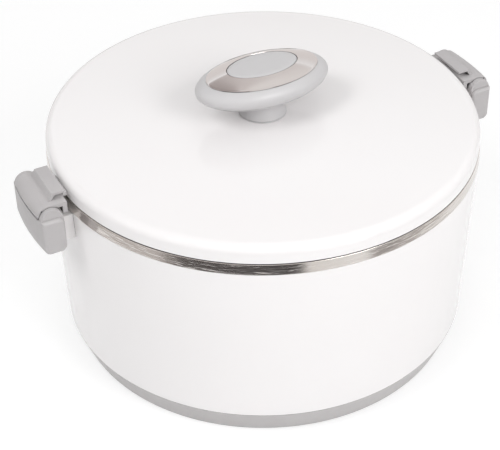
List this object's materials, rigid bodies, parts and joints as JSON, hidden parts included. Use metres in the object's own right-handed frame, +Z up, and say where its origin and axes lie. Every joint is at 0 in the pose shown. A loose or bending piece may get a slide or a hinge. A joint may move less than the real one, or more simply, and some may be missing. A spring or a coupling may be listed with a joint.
{
  "type": "insulated casserole",
  "caption": "Insulated serving casserole with a steel bowl, a lift-off foamed lid with an oval knob, and press-to-open side latches.",
  "frame": {"origin": "centre of the base ring's underside, on the surface the pot stands on", "axes": "+Z up along the pot's axis, +X through the two side grips"},
  "size_m": [0.352, 0.3018, 0.206],
  "materials": {
    "white_plastic": "glossy moulded",
    "grey_plastic": "satin moulded",
    "steel": "polished",
    "chrome": "bright",
    "foam": "rigid cellular foam",
    "silicone": "soft matte",
    "fastener_steel": "zinc plated"
  },
  "bodies": {
    "pot": {"outer_shell": "white_plastic", "base_cup": "grey_plastic", "fill_plug": "grey_plastic", "inner_bowl": "steel", "bowl_insulation": "foam", "right_bracket": "white_plastic", "right_bracket_screws": "fastener_steel", "right_grip": "grey_plastic", "right_hinge_pin": "fastener_steel", "right_latch_spring": "fastener_steel", "left_bracket": "white_plastic", "left_bracket_screws": "fastener_steel", "left_grip": "grey_plastic", "left_hinge_pin": "fastener_steel", "left_latch_spring": "fastener_steel"},
    "lid": {"lid_shell": "white_plastic", "lid_insulation": "foam", "lid_liner": "steel", "lid_seal": "silicone", "knob_base": "grey_plastic", "knob_cap": "grey_plastic", "knob_ring": "chrome", "knob_inset": "grey_plastic", "knob_screw": "fastener_steel", "knob_washer": "fastener_steel"},
    "right_latch_arm": {"right_latch": "grey_plastic"},
    "left_latch_arm": {"left_latch": "grey_plastic"}
  },
  "joints": [
    {"name": "lid_lift", "type": "slide", "parent": "pot", "child": "lid", "axis": [0, 0, 1], "range_m": [0, 0.15]},
    {"name": "right_latch_press", "type": "hinge", "parent": "pot", "child": "right_latch_arm", "pos_m": [0.1663, 0, 0.1497], "axis": [0, 1, 0], "range_deg": [0, 10], "stiffness_Nm_per_rad": 0.3, "springref_deg": -8.59},
    {"name": "left_latch_press", "type": "hinge", "parent": "pot", "child": "left_latch_arm", "pos_m": [-0.1663, 0, 0.1497], "axis": [0, -1, 0], "range_deg": [0, 10], "stiffness_Nm_per_rad": 0.3, "springref_deg": -8.59}
  ]
}
